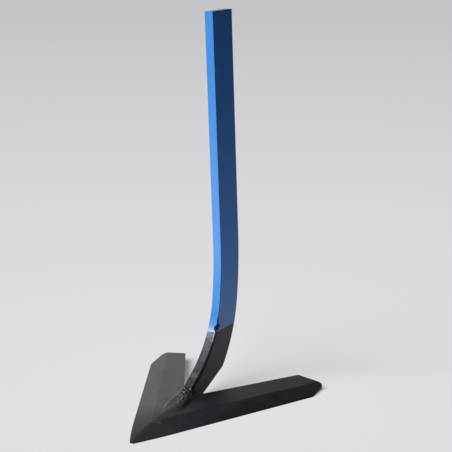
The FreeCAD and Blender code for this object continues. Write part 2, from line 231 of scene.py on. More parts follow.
def lumps(x, y, size, seed, waves=28):
    """Even, seeded unevenness of about -1 to 1.

    Sum of plane cosine waves, with wavelengths near size and random directions and phases.
    """
    draw = np.random.default_rng(seed)
    turn = draw.uniform(0, 2 * math.pi, waves)
    length = size * draw.uniform(0.7, 1.5, waves)
    phase = draw.uniform(0, 2 * math.pi, waves)
    along = x[..., None] * np.cos(turn) + y[..., None] * np.sin(turn)
    return np.cos(2 * math.pi * along / length + phase).sum(-1) / math.sqrt(waves)


def blend_max(first, second, reach):
    """The higher of two surfaces, with a fillet about as wide as reach between them."""
    near = np.clip(0.5 + 0.5 * (second - first) / reach, 0, 1)
    return first * (1 - near) + second * near + reach * near * (1 - near)


def grid_faces(rows, count):
    """Corner numbers of a grid of rows of points, each row closed on itself.

    Returns the rows' own corners, the next corner along for each, and the quads between rows.
    """
    corner = np.arange(rows * count).reshape(rows, count)
    after = np.roll(corner, -1, axis=1)
    quads = np.stack([corner[:-1], after[:-1], after[1:], corner[1:]], -1).reshape(-1, 4)
    return corner, after, quads


def end_fans(corner, after, first, last):
    """Triangles that close a grid's two ends, round the points numbered first and last."""
    return np.vstack([
        np.stack([after[0], corner[0], np.full(len(corner[0]), first)], -1),
        np.stack([corner[-1], after[-1], np.full(len(corner[0]), last)], -1),
    ])


def add_piece(name, points, faces, material):
    """Smooth-shaded mesh object from points in millimetres, riding on the part."""
    mesh = bpy.data.meshes.new(name)
    mesh.from_pydata((points * MM).tolist(), [], faces)
    mesh.shade_smooth()
    mesh.materials.append(material)
    piece = bpy.data.objects.new(name, mesh)
    bpy.context.scene.collection.objects.link(piece)
    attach(piece, "root")
    return piece


def shell_mesh(name, rings, material):
    """Closed mesh through rings of points, given as stations by points by xyz.

    Each ring joins the next by quads, and a fan to the mean point closes each end. If the
    signed volume comes out negative, every face is turned round.
    """
    corner, after, quads = grid_faces(*rings.shape[:2])
    points = np.vstack([rings.reshape(-1, 3), rings[0].mean(0), rings[-1].mean(0)])
    fans = end_fans(corner, after, corner.size, corner.size + 1)
    split = np.vstack([quads[:, [0, 1, 2]], quads[:, [0, 2, 3]], fans])
    a, b, c = (points[split[:, k]] for k in range(3))
    if np.einsum("ij,ij->i", a, np.cross(b, c)).sum() < 0:
        quads, fans = quads[:, ::-1], fans[:, ::-1]
    return add_piece(name, points, quads.tolist() + fans.tolist(), material)


def weld_mound(x, y, inside, base):
    """Mound of the weld over the wing, inside being the distance in from its rim.

    The lower of a level and of the rim's slope times inside, with a soft edge between them.
    On the left the level stays flat across the falling wing, and on the right it follows it.
    """
    level = np.where(x < 0, WING_FALL * np.abs(x) + MOUND_SKIN,
                     MOUND_START * ease(y, *MOUND_START_Y))
    level = level + MOUND_RISE * ease(y, *MOUND_RISE_Y)
    slope = np.where(x < 0, RIM_SLOPE[0], RIM_SLOPE[1] + RIM_STEEPER * ease(y, *RIM_STEEPER_Y))
    return base - blend_max(-level, -slope * inside, np.where(x < 0, *RIM_SOFTNESS))


def weld_leg(x, y, width, base):
    """Leg of the weld up the bar's side.

    It falls from the bar outwards as (1 - share)^1.5, where share is the distance from the
    bar over the leg's width, and sinks a little into the wing at its outer end.
    """
    rise = np.where(x < 0, *LEG_RISE) * ease(y, *LEG_CLIMB_Y)
    rise = rise * (LEG_KEPT + (1 - LEG_KEPT) * (1 - ease(y, *LEG_FALL_Y)))
    share = np.clip((np.abs(x) - BAR_HALF) / width, 0, 1)
    return base + rise * (1 - share) ** 1.5 - LEG_SINKS * share ** 4


def run_roughness(x, y, aside, share):
    """Crescent ripples, lumps and beads on the last run, which die down towards its rear.

    Ripples are the absolute sine of y plus a little of aside squared. Lumps are a noise, and
    beads are what another noise has over a level, less of it towards the run's sides.
    """
    ripple = np.abs(np.sin(math.pi * (y + RIPPLE_CURVE * aside ** 2) / RIPPLE_PITCH))
    beads = np.clip(lumps(x, y, BEAD_SIZE, 12) - BEAD_LEVEL, 0, 1.4) * (1 - 0.7 * share)
    rough = (RIPPLE_HEIGHT * ripple + LUMP_HEIGHT * lumps(x, y, LUMP_SIZE, 11)
             + BEAD_HEIGHT * beads)
    return rough * (1 - 0.9 * ease(y, *ROUGH_ENDS_Y))


def last_run(x, y, aside, base):
    """The last, rough run on the weld, aside being the distance from its crest.

    From its feet on the wing or the bar it rises to the crest as (1 - share^3.2)^0.42, where
    share is aside over the run's reach. Elsewhere it lies deep in the blade.
    """
    reach = np.where(aside < 0, np.interp(y, RUN_Y, RUN_LEFT), np.interp(y, RUN_Y, RUN_RIGHT))
    share = np.abs(aside) / reach
    on_bar = bar_front(y) - RUN_IN_BAR
    on_wing = base - RUN_IN_WING
    foot_left = np.where(x > -BAR_HALF, np.maximum(on_wing, on_bar), on_wing)
    foot_right = on_wing + (on_bar - on_wing) * ease(y, *RUN_MEETS_BAR_Y)
    foot = np.where(aside < 0, foot_left, foot_right)
    crest = np.maximum(np.interp(y, RUN_Y, RUN_Z), foot + 0.05)
    body = np.clip(1 - share ** 3.2, 0, None) ** 0.42
    rough = run_roughness(x, y, aside, share) - ROUGH_MEAN
    run = foot + (crest - foot) * body + rough * ease(1 - share, 0, ROUGH_FADE)
    return np.where((share < 1) & (y > RUN_Y[0]) & (y < RUN_Y[-1]), run, base - 5)


def weld_height(x, y, left, right):
    """Top of the weld over the wing and the foot of the bar.

    The mound, the legs and the last run are joined by fillets. Slight waves over them all
    grow in from the rim. Behind the run the top stays hidden in the bar.
    """
    base = wing_top(x, y)
    width = np.where(x < 0, left, right)
    inside = width - np.abs(x)
    top = blend_max(weld_mound(x, y, inside, base), weld_leg(x, y, width - BAR_HALF, base),
                    LEG_FILLET)
    aside = x - np.interp(y, RUN_Y, RUN_X)
    top = blend_max(top, last_run(x, y, aside, base), np.where(aside < 0, *RUN_FILLET))
    waves = (WAVE_HEIGHTS[0] * lumps(x, y, WAVE_SIZES[0], 13)
             + WAVE_HEIGHTS[1] * lumps(x, y, WAVE_SIZES[1], 14))
    top = top + waves * np.clip(inside / WAVES_FROM_RIM, 0, 1)
    hidden = (np.abs(x) < BAR_HALF - 0.6) & (y > RUN_Y[-1])
    return np.where(hidden, np.minimum(top, bar_front(y) - 1.5), top)


def weld_rings(stations=190, across=88, under=10):
    """Sections of the weld across the bar: its rough top out and back, then its root.

    At each y the top runs from the left toe to the right toe, and the root returns under the
    wing's top. Sections lie closer at the front. The toes wander a little, as a hand-laid run
    does, and the two rear ends are rounded as a quarter ellipse.
    """
    y = WELD_Y[0] + (WELD_Y[-1] - WELD_Y[0]) * np.linspace(0, 1, stations) ** 1.15
    wander = (lumps(y, 0 * y, WANDER_SIZES[0], 21) * WANDER_REACH[0]
              + lumps(y, 0 * y, WANDER_SIZES[1], 22) * WANDER_REACH[1])
    wander = wander * ease(y, *WANDER_STARTS_Y) * (1 - ease(y, *WANDER_ENDS_Y))
    left = np.interp(y, WELD_Y, WELD_LEFT) + wander
    right = np.interp(y, WELD_Y, WELD_RIGHT) - wander
    past = (y - WELD_Y[-1] + REAR_ROUNDING) / REAR_ROUNDING
    end = np.sqrt(np.clip(1 - past.clip(0, None) ** 2, 0.02, 1))
    inner = BAR_HALF - 1
    left = (inner + (left - inner) * end)[:, None]
    right = (inner + (right - inner) * end)[:, None]
    out = np.linspace(-1, 1, across)[None, :]
    back = np.linspace(0.97, -0.97, under)[None, :]
    top_x, root_x = (np.where(share < 0, share * left, share * right) for share in (out, back))
    top_y, root_y = (np.broadcast_to(y[:, None], x.shape) for x in (top_x, root_x))
    upper = np.stack([top_x, top_y, weld_height(top_x, top_y, left, right)], -1)
    lower = np.stack([root_x, root_y, wing_top(root_x, root_y) - WELD_ROOT], -1)
    return np.concatenate([upper, lower], axis=1)


def on_bar_face(x, y):
    """Points on the bar's front face, and the way it faces."""
    outward = np.tile([0, -math.cos(FOOT_ANGLE), math.sin(FOOT_ANGLE)], (len(x), 1))
    return np.stack([x, y, bar_front(y)], -1), outward


def on_wings(x, y):
    """Points on the tops of the wings, and the way each wing faces."""
    outward = np.stack([np.sign(x) * WING_FALL, 0 * y - RIDGE_RISE, 0 * y + 1], -1)
    return np.stack([x, y, wing_top(x, y)], -1), outward


def spatter_points():
    """Places, surface normals, radii and flatness of the weld spatter, in millimetres.

    Small drops thin out up the bar's front face and outwards over the wings from the weld.
    The large ones and the scales on the crest of the run come last.
    """
    draw = np.random.default_rng(5)
    up = draw.uniform(0, 1, DROPS) ** BAR_DROP_CROWDING
    bar_x = draw.uniform(-BAR_DROP_X, BAR_DROP_X, DROPS)
    bar_y = BAR_DROP_Y[0] + up * (BAR_DROP_Y[1] - BAR_DROP_Y[0])
    side = np.where(draw.uniform(0, 1, DROPS) < WING_DROP_LEFT, -1, 1)
    wing_y = draw.uniform(*WING_DROP_Y, DROPS)
    least, beyond = WING_DROP_AWAY
    away = np.interp(wing_y, WELD_Y, WELD_LEFT) + least + draw.exponential(beyond, DROPS)
    groups = (
        on_bar_face(bar_x, bar_y),
        on_wings(side * away, wing_y),
        on_bar_face(*np.transpose(LARGE_ON_BAR)),
        on_wings(*np.transpose(LARGE_ON_WINGS)),
        (SCALES, np.tile(SCALE_OUT, (len(SCALES), 1))),
    )
    places, outward = (np.vstack(rows) for rows in zip(*groups))
    outward = outward / np.linalg.norm(outward, axis=1, keepdims=True)
    radii = np.concatenate([draw.uniform(*DROP_RADII, 2 * DROPS), LARGE_RADII, SCALE_RADII])
    flatness = np.full(len(radii), DROP_FLATNESS)
    flatness[-len(SCALES):] = SCALE_FLATNESS
    return places, outward, radii, flatness


def spatter_drops(material, around=10, up=6):
    """One mesh of flattened drops: each a sphere squashed along the surface normal.

    The sphere is a grid of latitude and longitude with a single point at each pole.
    """
    places, outward, radii, flatness = spatter_points()
    lift = np.linspace(-math.pi / 2, math.pi / 2, up + 1)[1:-1]
    turn = np.arange(around) * 2 * math.pi / around
    ring = np.stack([np.outer(np.cos(lift), np.cos(turn)), np.outer(np.cos(lift), np.sin(turn)),
                     np.outer(np.sin(lift), np.ones(around))], -1).reshape(-1, 3)
    ball = np.vstack([ring, [[0, 0, -1], [0, 0, 1]]])
    corner, after, quads = grid_faces(up - 1, around)
    fans = end_fans(corner, after, corner.size, corner.size + 1)
    first = np.cross(outward, [1, 0.3, 0])
    first = first / np.linalg.norm(first, axis=1, keepdims=True)
    second = np.cross(outward, first)
    axes = np.stack([first, second, outward * flatness[:, None]], 1)
    points = places[:, None, :] + radii[:, None, None] * np.einsum("pk,nkj->npj", ball, axes)
    start = np.arange(len(places))[:, None, None] * len(ball)
    faces = (quads[None] + start).reshape(-1, 4).tolist()
    faces += (fans[None] + start).reshape(-1, 3).tolist()
    return add_piece("weld_spatter", points.reshape(-1, 3), faces, material)


# Materials


def linear(hex_colour):
    """Linear RGBA of an sRGB hex colour."""
    parts = [int(hex_colour[k:k + 2], 16) / 255 for k in (1, 3, 5)]
    return (*[c / 12.92 if c <= 0.04045 else ((c + 0.055) / 1.055) ** 2.4 for c in parts], 1.0)


def add(tree, kind, inputs=None, **settings):
    """Adds a node, applies its settings, and fills its inputs with values or links."""
    made = tree.nodes.new(kind)
    for name, value in settings.items():
        setattr(made, name, value)
    for socket, value in (inputs or {}).items():
        if isinstance(value, bpy.types.NodeSocket):
            tree.links.new(value, made.inputs[socket])
        else:
            made.inputs[socket].default_value = value
    return made


def per_mm(size_mm):
    """Noise scale whose pattern repeats at about size_mm, on coordinates in metres."""
    return 1 / (size_mm * MM)


def start_material(name):
    """New material and its node tree, emptied."""
    material = bpy.data.materials.new(name)
    material.use_nodes = True
    tree = material.node_tree
    tree.nodes.clear()
    return material, tree


def end_material(tree, shader):
    """Gives a material its output, which shows the shader."""
    add(tree, "ShaderNodeOutputMaterial", {"Surface": shader.outputs[0]})


def black_dip(tree, place):
    """Colour, patches and grain shared by every surface of the black dip.

    The black varies between a blue-black and a dusty grey-black in patches of about 14 mm,
    with a grain of about 0.9 mm on top.
    """
    patch = add(tree, "ShaderNodeTexNoise", {
        "Vector": place, "Scale": per_mm(14), "Detail": 4.0}).outputs[0]
    grain = add(tree, "ShaderNodeTexNoise", {
        "Vector": place, "Scale": per_mm(0.9), "Detail": 3.0}).outputs[0]
    sum_up = add(tree, "ShaderNodeMath", {0: grain, 1: 0.35, 2: patch}, operation="MULTIPLY_ADD")
    colour = add(tree, "ShaderNodeValToRGB", {"Fac": sum_up.outputs[0]})
    deep, dusty = colour.color_ramp.elements
    deep.position, deep.color = 0.45, linear(DIP_DEEP)
    dusty.position, dusty.color = 0.95, linear(DIP_DUSTY)
    return {"colour": colour.outputs[0], "patch": patch, "grain": grain}


def ragged_spot(tree, place, ragged, centre, reach, softness=0.18):
    """1 inside a spot, 0 outside, and a smooth step between them that widens with softness.

    Distance from the centre, with each axis over its own reach in mm, plus 1.6 times a noise
    for a ragged edge, is compared with 1.9, because the noise is about 0.5 on average.
    """
    scale = tuple(1 / (size * MM) for size in reach)
    moved = add(tree, "ShaderNodeMapping", {
        "Vector": place, "Scale": scale,
        "Location": tuple(-at * MM * by for at, by in zip(centre, scale))})
    away = add(tree, "ShaderNodeVectorMath", {0: moved.outputs[0]}, operation="LENGTH")
    edge = add(tree, "ShaderNodeMath", {0: ragged, 1: 1.6, 2: away.outputs["Value"]},
               operation="MULTIPLY_ADD")
    return add(tree, "ShaderNodeMapRange", {
        "Value": edge.outputs[0], "From Min": 1.9, "From Max": 1.9 - softness},
        interpolation_type="SMOOTHSTEP").outputs[0]


def crown_scuffs_and_glints(tree, place, black):
    """Colour with a few streaky, bluish scuffs across the crown of the blade, partly painted
    glints.
    """
    streak_place = add(tree, "ShaderNodeMapping", {"Vector": place, "Scale": (0.3, 1, 1)})
    scuff = add(tree, "ShaderNodeTexNoise", {
        "Vector": streak_place.outputs[0], "Scale": per_mm(1.6), "Detail": 3.0}).outputs[0]
    near = ragged_spot(tree, place, scuff, SCUFF_CENTRE, SCUFF_REACH)
    streaky = add(tree, "ShaderNodeMapRange", {
        "Value": scuff, "From Min": 0.50, "From Max": 0.62, "To Min": 0.15, "To Max": 0.9})
    streaky = add(tree, "ShaderNodeMath", {0: near, 1: streaky.outputs[0]}, operation="MULTIPLY")
    return add(tree, "ShaderNodeMix", {
        "Factor": streaky.outputs[0], COLOUR_A: black, COLOUR_B: linear(CROWN_SCUFF_AND_GLINT)},
        data_type="RGBA").outputs[COLOUR_OUT]


def satin_black_enamel():
    """Satin black enamel, dipped over hammer-forged steel.

    The eye gets a soft, slightly dusty black that turns pale at a low angle, with faint
    forging waves about 16 mm apart under a fine paint grain. The nose is scoured dull, with
    a few bluish scuffs behind it that are also painted glints, and painted shade darkens
    the cutting edge.
    """
    material, tree = start_material("satin_black_enamel_on_forged_steel")
    place = add(tree, "ShaderNodeTexCoord").outputs["Object"]
    axes = add(tree, "ShaderNodeSeparateXYZ", {0: place}).outputs
    black = black_dip(tree, place)

    scuffed = crown_scuffs_and_glints(tree, place, black["colour"])
    # Painted shade along the cutting edge: the lowest 2.2 mm of the blade darken to near-black
    rim = add(tree, "ShaderNodeMapRange", {
        "Value": axes["Z"], "From Min": 2.2 * MM, "From Max": 1.0 * MM}).outputs[0]
    edge_shaded = add(tree, "ShaderNodeMix", {
        "Factor": rim, COLOUR_A: scuffed, COLOUR_B: linear(CUTTING_EDGE_SHADE)},
        data_type="RGBA").outputs[COLOUR_OUT]

    satin = add(tree, "ShaderNodeMapRange", {
        "Value": black["patch"], "From Min": 0.3, "From Max": 0.7,
        "To Min": 0.39, "To Max": 0.46}).outputs[0]
    scoured = add(tree, "ShaderNodeMapRange", {
        "Value": axes["Y"], "From Min": -35 * MM, "From Max": -105 * MM,
        "To Max": 0.33}).outputs[0]
    rough = add(tree, "ShaderNodeMath", {0: satin, 1: scoured}, operation="ADD").outputs[0]

    wave = add(tree, "ShaderNodeTexNoise", {
        "Vector": place, "Scale": per_mm(16), "Detail": 1.0}).outputs[0]
    waved = add(tree, "ShaderNodeBump", {
        "Height": wave, "Strength": 0.5, "Distance": 0.07 * MM}).outputs[0]
    grained = add(tree, "ShaderNodeBump", {
        "Height": black["grain"], "Strength": 0.35, "Distance": 0.05 * MM,
        "Normal": waved}).outputs[0]
    shader = add(tree, "ShaderNodeBsdfPrincipled", {
        "Base Color": edge_shaded, "Roughness": rough, "IOR": 1.5, "Normal": grained})
    end_material(tree, shader)
    return material


def behind_foot_front(tree, axes):
    """Distance behind the bar's front face over the foot, in metres.

    Below the first bend it is the distance to a slanted line. Above, it is the distance to
    the bend's centre less its radius. The joint between them is square to the line.
    """
    toward_y, toward_z = math.sin(FOOT_ANGLE), math.cos(FOOT_ANGLE)
    end_y = TOE_Y + FOOT_LENGTH * toward_y
    end_z = TOE_Z + FOOT_LENGTH * toward_z
    centre = (0, (end_y - FOOT_BEND * toward_z) * MM, (end_z + FOOT_BEND * toward_y) * MM)
    flat = add(tree, "ShaderNodeCombineXYZ", {"Y": axes["Y"], "Z": axes["Z"]}).outputs[0]
    from_end = add(tree, "ShaderNodeVectorMath", {0: flat, 1: (0, end_y * MM, end_z * MM)},
                   operation="SUBTRACT").outputs[0]
    along = add(tree, "ShaderNodeVectorMath", {0: from_end, 1: (0, toward_y, toward_z)},
                operation="DOT_PRODUCT").outputs["Value"]
    line = add(tree, "ShaderNodeVectorMath", {0: from_end, 1: (0, toward_z, -toward_y)},
               operation="DOT_PRODUCT").outputs["Value"]
    out = add(tree, "ShaderNodeVectorMath", {0: flat, 1: centre},
              operation="DISTANCE").outputs["Value"]
    bend = add(tree, "ShaderNodeMath", {0: out, 1: FOOT_BEND * MM},
               operation="SUBTRACT").outputs[0]
    bent = add(tree, "ShaderNodeMath", {0: along, 1: 0.0}, operation="GREATER_THAN").outputs[0]
    return add(tree, "ShaderNodeMix", {
        "Factor": bent, VALUE_A: line, VALUE_B: bend}).outputs[0]


def blue_coat(tree, place, height, front):
    """Colour of the blue enamel from the sawn end down to the dip.

    Brush streaks 3.5 mm wide run along the bar between two near blues. Painted light makes
    the middle paler and painted shade darkens the low end. On the front, the coat is deepest
    over the dip.
    """
    streak_place = add(tree, "ShaderNodeMapping", {"Vector": place, "Scale": (1, 1, 0.12)})
    streak = add(tree, "ShaderNodeTexNoise", {
        "Vector": streak_place.outputs[0], "Scale": per_mm(3.5), "Detail": 3.0}).outputs[0]
    fresh = add(tree, "ShaderNodeMix", {
        "Factor": streak, COLOUR_A: linear(BLUE_DEEP), COLOUR_B: linear(BLUE_BRIGHT)},
        data_type="RGBA").outputs[COLOUR_OUT]
    # Painted light: the blue is paler between about 70 and 370 mm up, most of all in the middle
    under = add(tree, "ShaderNodeMapRange", {
        "Value": height, "From Min": 370 * MM, "From Max": 190 * MM},
        interpolation_type="SMOOTHSTEP").outputs[0]
    above = add(tree, "ShaderNodeMapRange", {
        "Value": height, "From Min": 70 * MM, "From Max": 170 * MM,
        "To Min": 0.1, "To Max": 0.85}, interpolation_type="SMOOTHSTEP").outputs[0]
    painted_light = add(tree, "ShaderNodeMath", {0: under, 1: above}, operation="MULTIPLY").outputs[0]
    lit_paler = add(tree, "ShaderNodeMix", {
        "Factor": painted_light, COLOUR_A: fresh, COLOUR_B: linear(BLUE_PAINTED_LIGHT)},
        data_type="RGBA").outputs[COLOUR_OUT]
    # Painted shade: the blue darkens from 155 mm down to 70 mm
    painted_shade = add(tree, "ShaderNodeMapRange", {
        "Value": height, "From Min": 155 * MM, "From Max": 70 * MM}).outputs[0]
    shaded_low = add(tree, "ShaderNodeMix", {
        "Factor": painted_shade, COLOUR_A: lit_paler, COLOUR_B: linear(BLUE_PAINTED_SHADE)},
        data_type="RGBA").outputs[COLOUR_OUT]
    thick = add(tree, "ShaderNodeMapRange", {
        "Value": height, "From Min": 98 * MM, "From Max": 82 * MM},
        interpolation_type="SMOOTHSTEP").outputs[0]
    thick = add(tree, "ShaderNodeMath", {0: thick, 1: front}, operation="MULTIPLY").outputs[0]
    return add(tree, "ShaderNodeMix", {
        "Factor": thick, COLOUR_A: shaded_low, COLOUR_B: linear(BLUE_THICK)},
        data_type="RGBA").outputs[COLOUR_OUT]


def blue_highlight_by_the_dip(tree, over, line, front, blue):
    """Painted highlight: blue that pales on the front from 8 mm over the line to the lip, 2 mm
    high, on the line.
    """
    # Painted highlight: paler blue on the front just over the dip, and a bright lip on the line
    highlight_fade = add(tree, "ShaderNodeMapRange", {
        "Value": over, "From Min": line + 8.0 * MM, "From Max": line + 2.0 * MM,
        "To Max": 0.7}, interpolation_type="SMOOTHSTEP").outputs[0]
    highlight_fade = add(tree, "ShaderNodeMath", {0: highlight_fade, 1: front}, operation="MULTIPLY").outputs[0]
    paled = add(tree, "ShaderNodeMix", {
        "Factor": highlight_fade, COLOUR_A: blue, COLOUR_B: linear(BLUE_HIGHLIGHT)},
        data_type="RGBA").outputs[COLOUR_OUT]
    near = add(tree, "ShaderNodeMath", {0: over, 1: line + 0.9 * MM, 2: 1.1 * MM},
               operation="COMPARE").outputs[0]
    shown = add(tree, "ShaderNodeMapRange", {
        "Value": front, "To Min": 0.12, "To Max": 0.95}).outputs[0]
    lip_highlight = add(tree, "ShaderNodeMath", {0: near, 1: shown}, operation="MULTIPLY").outputs[0]
    return add(tree, "ShaderNodeMix", {
        "Factor": lip_highlight, COLOUR_A: paled, COLOUR_B: linear(BLUE_LIP_HIGHLIGHT)},
        data_type="RGBA").outputs[COLOUR_OUT]


def blue_edge_shade_and_chip(tree, sideways, chip, blue):
    """Blue with painted shade that darkens it on the rolled edges, with the primer bare in the
    chip.
    """
    # Painted shade: darker blue where the surface turns sideways, on the rolled edges
    edge = add(tree, "ShaderNodeMath", {0: sideways, 1: 0.62, 2: 0.34},
               operation="COMPARE").outputs[0]
    edge_shaded = add(tree, "ShaderNodeMix", {
        "Factor": edge, COLOUR_A: blue, COLOUR_B: linear(BLUE_EDGE_SHADE)},
        data_type="RGBA").outputs[COLOUR_OUT]
    return add(tree, "ShaderNodeMix", {
        "Factor": chip, COLOUR_A: edge_shaded, COLOUR_B: linear(PRIMER)},
        data_type="RGBA").outputs[COLOUR_OUT]


def foot_front(tree, place, height, front, scuff, ragged):
    """Black of the foot, rubbed to grey with painted sheen on the front, most of all under the
    lip, and dusty.
    """
    black = black_dip(tree, place)["colour"]
    # Painted sheen: grey that grows up the front towards the dip, most under the lip, broken up by
    # scuffs
    high = add(tree, "ShaderNodeMapRange", {
        "Value": height, "From Min": 22 * MM, "From Max": 68 * MM,
        "To Min": 0.12, "To Max": 0.48}).outputs[0]
    sheen_under_lip = add(tree, "ShaderNodeMapRange", {
        "Value": height, "From Min": 57 * MM, "From Max": 67 * MM, "To Max": 0.5}).outputs[0]
    high = add(tree, "ShaderNodeMath", {0: high, 1: sheen_under_lip}, operation="ADD").outputs[0]
    scuffed = add(tree, "ShaderNodeMapRange", {
        "Value": scuff, "From Min": 0.38, "From Max": 0.6}).outputs[0]
    sheen_and_rub = add(tree, "ShaderNodeMath", {0: front, 1: high}, operation="MULTIPLY").outputs[0]
    sheen_and_rub = add(tree, "ShaderNodeMath", {0: sheen_and_rub, 1: scuffed}, operation="MULTIPLY").outputs[0]
    paled = add(tree, "ShaderNodeMix", {
        "Factor": sheen_and_rub, COLOUR_A: black, COLOUR_B: linear(FOOT_SHEEN_AND_RUB)},
        data_type="RGBA").outputs[COLOUR_OUT]
    dust = ragged_spot(tree, place, ragged, DUST_CENTRE, DUST_REACH, softness=1.1)
    dust = add(tree, "ShaderNodeMath", {0: dust, 1: front}, operation="MULTIPLY").outputs[0]
    dust = add(tree, "ShaderNodeMath", {0: dust, 1: 0.5}, operation="MULTIPLY").outputs[0]
    return add(tree, "ShaderNodeMix", {
        "Factor": dust, COLOUR_A: paled, COLOUR_B: linear(FOOT_DUST)},
        data_type="RGBA").outputs[COLOUR_OUT]


def foot_flanks(tree, sideways, scuff, colour):
    """Dust, in patches of the scuffs' size, on the foot's two wide sides."""
    flank = add(tree, "ShaderNodeMath", {0: sideways, 1: 0.8}, operation="GREATER_THAN").outputs[0]
    dusty = add(tree, "ShaderNodeMapRange", {
        "Value": scuff, "From Min": 0.3, "From Max": 0.7, "To Min": 0.42, "To Max": 0.66})
    dusty = add(tree, "ShaderNodeMath", {0: dusty.outputs[0], 1: flank},
                operation="MULTIPLY").outputs[0]
    return add(tree, "ShaderNodeMix", {
        "Factor": dusty, COLOUR_A: colour, COLOUR_B: linear(FLANK_DUST)},
        data_type="RGBA").outputs[COLOUR_OUT]


def foot_edge_shade(tree, axes, sideways, ragged):
    """Share of the painted shade, dark and ragged, along the foot's front edges, on their sides.

    The depth behind the front face, with up to 2 mm of noise added, is whole shade under
    4.2 mm and none over 6.4 mm. Lower down the foot it counts for less, so that the shade is
    wider there, and up the foot the shade gets fainter.
    """
    depth = add(tree, "ShaderNodeMath", {0: ragged, 1: 2.0 * MM, 2: behind_foot_front(tree, axes)},
                operation="MULTIPLY_ADD").outputs[0]
    stretch = add(tree, "ShaderNodeMapRange", {
        "Value": axes["Z"], "From Min": 30 * MM, "From Max": 62 * MM,
        "To Min": 0.85, "To Max": 1.0}).outputs[0]
    depth = add(tree, "ShaderNodeMath", {0: depth, 1: stretch}, operation="MULTIPLY").outputs[0]
    faint = add(tree, "ShaderNodeMapRange", {
        "Value": axes["Z"], "From Min": 24 * MM, "From Max": 60 * MM,
        "To Min": 1.0, "To Max": 0.75}).outputs[0]
    edge_shade = add(tree, "ShaderNodeMapRange", {
        "Value": depth, "From Min": 6.4 * MM, "From Max": 4.2 * MM, "To Max": faint}).outputs[0]
    rolled = add(tree, "ShaderNodeMath", {0: sideways, 1: 0.35}, operation="GREATER_THAN")
    return add(tree, "ShaderNodeMath", {0: edge_shade, 1: rolled.outputs[0]},
               operation="MULTIPLY").outputs[0]


def worn_highlight_streak(tree, place, front, ragged, colour):
    """Colour with a soft, worn streak of grey, partly a painted highlight, just under the lip, by
    the right front edge.
    """
    worn_highlight = ragged_spot(tree, place, ragged, WORN_HIGHLIGHT_CENTRE, WORN_HIGHLIGHT_REACH, softness=0.6)
    worn_highlight = add(tree, "ShaderNodeMath", {0: worn_highlight, 1: front}, operation="MULTIPLY").outputs[0]
    worn_highlight = add(tree, "ShaderNodeMath", {0: worn_highlight, 1: 0.85}, operation="MULTIPLY").outputs[0]
    return add(tree, "ShaderNodeMix", {
        "Factor": worn_highlight, COLOUR_A: colour, COLOUR_B: linear(FOOT_WORN_HIGHLIGHT)},
        data_type="RGBA").outputs[COLOUR_OUT]


def sawn_end(tree, place, front, ragged, painted):
    """Sawn end under dark, thin paint, with saw lines 0.7 mm apart, coarse enough to show.

    The blue stops raggedly about 1 mm below it, apart from the front, where it goes right up.
    """
    along = add(tree, "ShaderNodeVectorMath", {0: place, 1: BAR_LEAN},
                operation="DOT_PRODUCT").outputs["Value"]
    rim = add(tree, "ShaderNodeMath", {0: ragged, 1: 2.4 * MM, 2: along},
              operation="MULTIPLY_ADD").outputs[0]
    rim = add(tree, "ShaderNodeMath", {0: front, 1: -1.8 * MM, 2: rim},
              operation="MULTIPLY_ADD").outputs[0]
    end = add(tree, "ShaderNodeMath", {0: rim, 1: BAR_END}, operation="GREATER_THAN").outputs[0]
    saw_place = add(tree, "ShaderNodeMapping", {"Vector": place, "Scale": (0.08, 1, 1)})
    saw = add(tree, "ShaderNodeTexNoise", {
        "Vector": saw_place.outputs[0], "Scale": per_mm(0.7), "Detail": 2.0}).outputs[0]
    sawn = add(tree, "ShaderNodeMix", {
        "Factor": saw, COLOUR_A: linear(SAWN_DEEP), COLOUR_B: linear(SAWN_PALE)},
        data_type="RGBA").outputs[COLOUR_OUT]
    return add(tree, "ShaderNodeMix", {
        "Factor": end, COLOUR_A: painted, COLOUR_B: sawn},
        data_type="RGBA").outputs[COLOUR_OUT]


def shank_roughness(tree, height, is_blue, scuff, edge_shade, chip):
    """Glossy blue, a satin foot that is duller down by the weld, and a dull chip and painted edge
    shade.
    """
    scorched = add(tree, "ShaderNodeMapRange", {
        "Value": height, "From Min": 62 * MM, "From Max": 22 * MM,
        "To Min": 0.54, "To Max": 0.68}).outputs[0]
    gloss = add(tree, "ShaderNodeMix", {
        "Factor": is_blue, VALUE_A: scorched, VALUE_B: 0.34}).outputs[0]
    satin = add(tree, "ShaderNodeMath", {0: scuff, 1: 0.12, 2: gloss},
                operation="MULTIPLY_ADD").outputs[0]
    on_foot = add(tree, "ShaderNodeMath", {0: edge_shade, 1: is_blue}, operation="SUBTRACT",
                  use_clamp=True).outputs[0]
    on_blue = add(tree, "ShaderNodeMath", {0: chip, 1: is_blue}, operation="MULTIPLY").outputs[0]
    bare = add(tree, "ShaderNodeMath", {0: on_foot, 1: on_blue}, operation="MAXIMUM").outputs[0]
    return add(tree, "ShaderNodeMix", {
        "Factor": bare, VALUE_A: satin, VALUE_B: 0.95}).outputs[0]


def shank_relief(tree, place, is_blue, chip):
    """Orange peel of 1.8 mm, with steps where the blue ends and where the chip breaks it."""
    peel = add(tree, "ShaderNodeTexNoise", {"Vector": place, "Scale": per_mm(1.8)}).outputs[0]
    step = add(tree, "ShaderNodeMath", {0: is_blue, 1: -3.0, 2: peel},
               operation="MULTIPLY_ADD").outputs[0]
    height = add(tree, "ShaderNodeMath", {0: chip, 1: -3.0, 2: step},
                 operation="MULTIPLY_ADD").outputs[0]
    return add(tree, "ShaderNodeBump", {
        "Height": height, "Strength": 0.5, "Distance": 0.06 * MM}).outputs[0]


